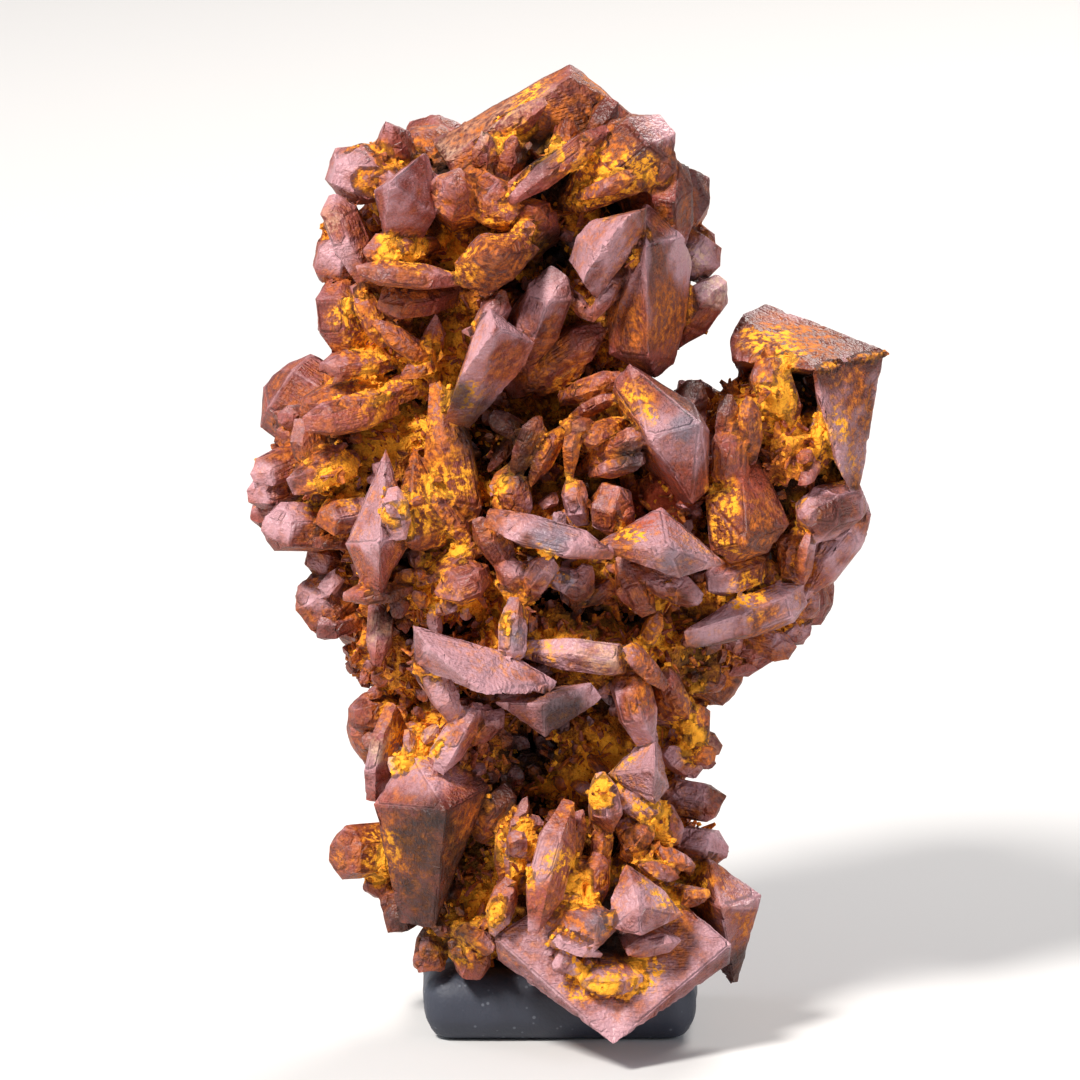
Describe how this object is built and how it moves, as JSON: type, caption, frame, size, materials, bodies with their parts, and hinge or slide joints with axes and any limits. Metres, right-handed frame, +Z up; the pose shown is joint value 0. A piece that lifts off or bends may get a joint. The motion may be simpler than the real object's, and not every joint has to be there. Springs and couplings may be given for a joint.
{
  "type": "limonite pseudomorph specimen",
  "caption": "Upright cluster of intergrown blocky, pointed iron-oxide crystals with powdery matrix, standing on a small dark block with rounded edges.",
  "frame": {"origin": "centre of the display base's flat underside, on the surface that the specimen stands on", "axes": "+Z is up, along the specimen's height. -Y is the side that the specimen shows to the viewer, and +X is to that viewer's right, where the short arm of crystals reaches out."},
  "size_m": [0.0633, 0.0441, 0.0976],
  "materials": {
    "limonite": "fine-grained red-brown iron oxide with lilac-grey lit faces and yellow ochre powder in the crevices",
    "slate": "dark blue-grey, satin, with rounded edges"
  },
  "bodies": {
    "root": {"crystal_cluster": "limonite", "display_base": "slate"}
  },
  "joints": []
}
